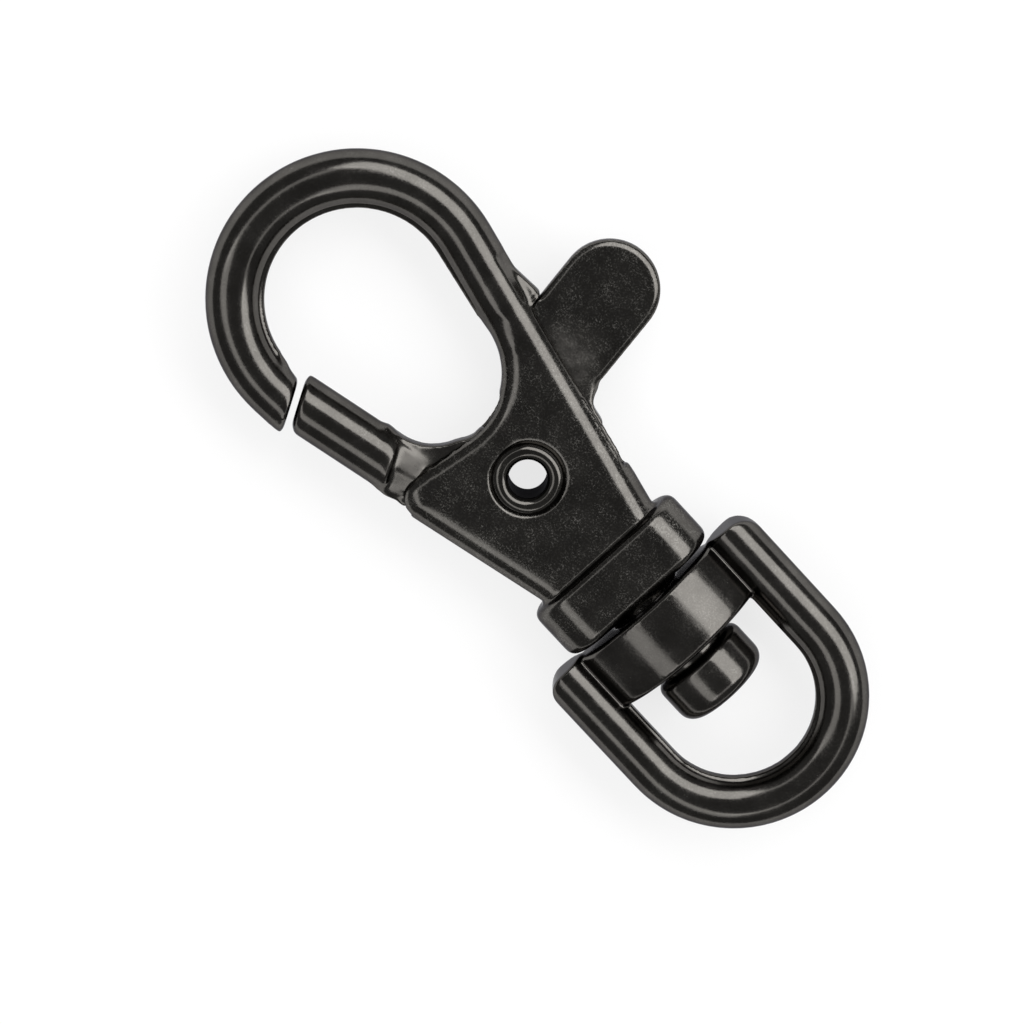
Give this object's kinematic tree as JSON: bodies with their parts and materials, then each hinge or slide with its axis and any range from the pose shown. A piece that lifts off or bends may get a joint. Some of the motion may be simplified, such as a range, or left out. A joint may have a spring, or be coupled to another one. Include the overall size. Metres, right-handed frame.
{
  "type": "swivel snap hook",
  "caption": "Flat die-cast snap hook with a spring-loaded gate and thumb tab on a hollow rivet, and a swivel eye for a strap or cord.",
  "frame": {"origin": "where the axis of the hollow rivet crosses the stud axis, in the middle plane of the body", "axes": "+X along the stud axis toward the swivel eye, +Y toward the thumb tab, +Z out of the flat face that is seen in the picture"},
  "size_m": [0.0601, 0.0282, 0.0082],
  "materials": {
    "body_metal": "dark gunmetal plating over die-cast zinc, satin with a fine grain",
    "lever_metal": "dark gunmetal plating over die-cast zinc, satin with a fine grain",
    "rivet_metal": "dark gunmetal plating, smooth",
    "spring_wire": "bright spring wire",
    "eye_metal": "dark gunmetal plating over die-cast zinc, satin with a fine grain"
  },
  "bodies": {
    "body": {"hook_body": "body_metal", "pivot_rivet": "rivet_metal", "gate_spring": "spring_wire"},
    "lever": {"gate_lever": "lever_metal"},
    "eye": {"swivel_eye": "eye_metal"}
  },
  "joints": [
    {"name": "gate_pivot", "type": "hinge", "parent": "body", "child": "lever", "pos_m": [0, 0, 0], "axis": [0, 0, -1], "range_deg": [0, 25], "stiffness_Nm_per_rad": 0.012, "springref_deg": -34.38, "deforming": ["gate_spring"]},
    {"name": "eye_swivel", "type": "hinge", "parent": "body", "child": "eye", "pos_m": [0.0148, 0, 0], "axis": [1, 0, 0], "continuous": true}
  ]
}
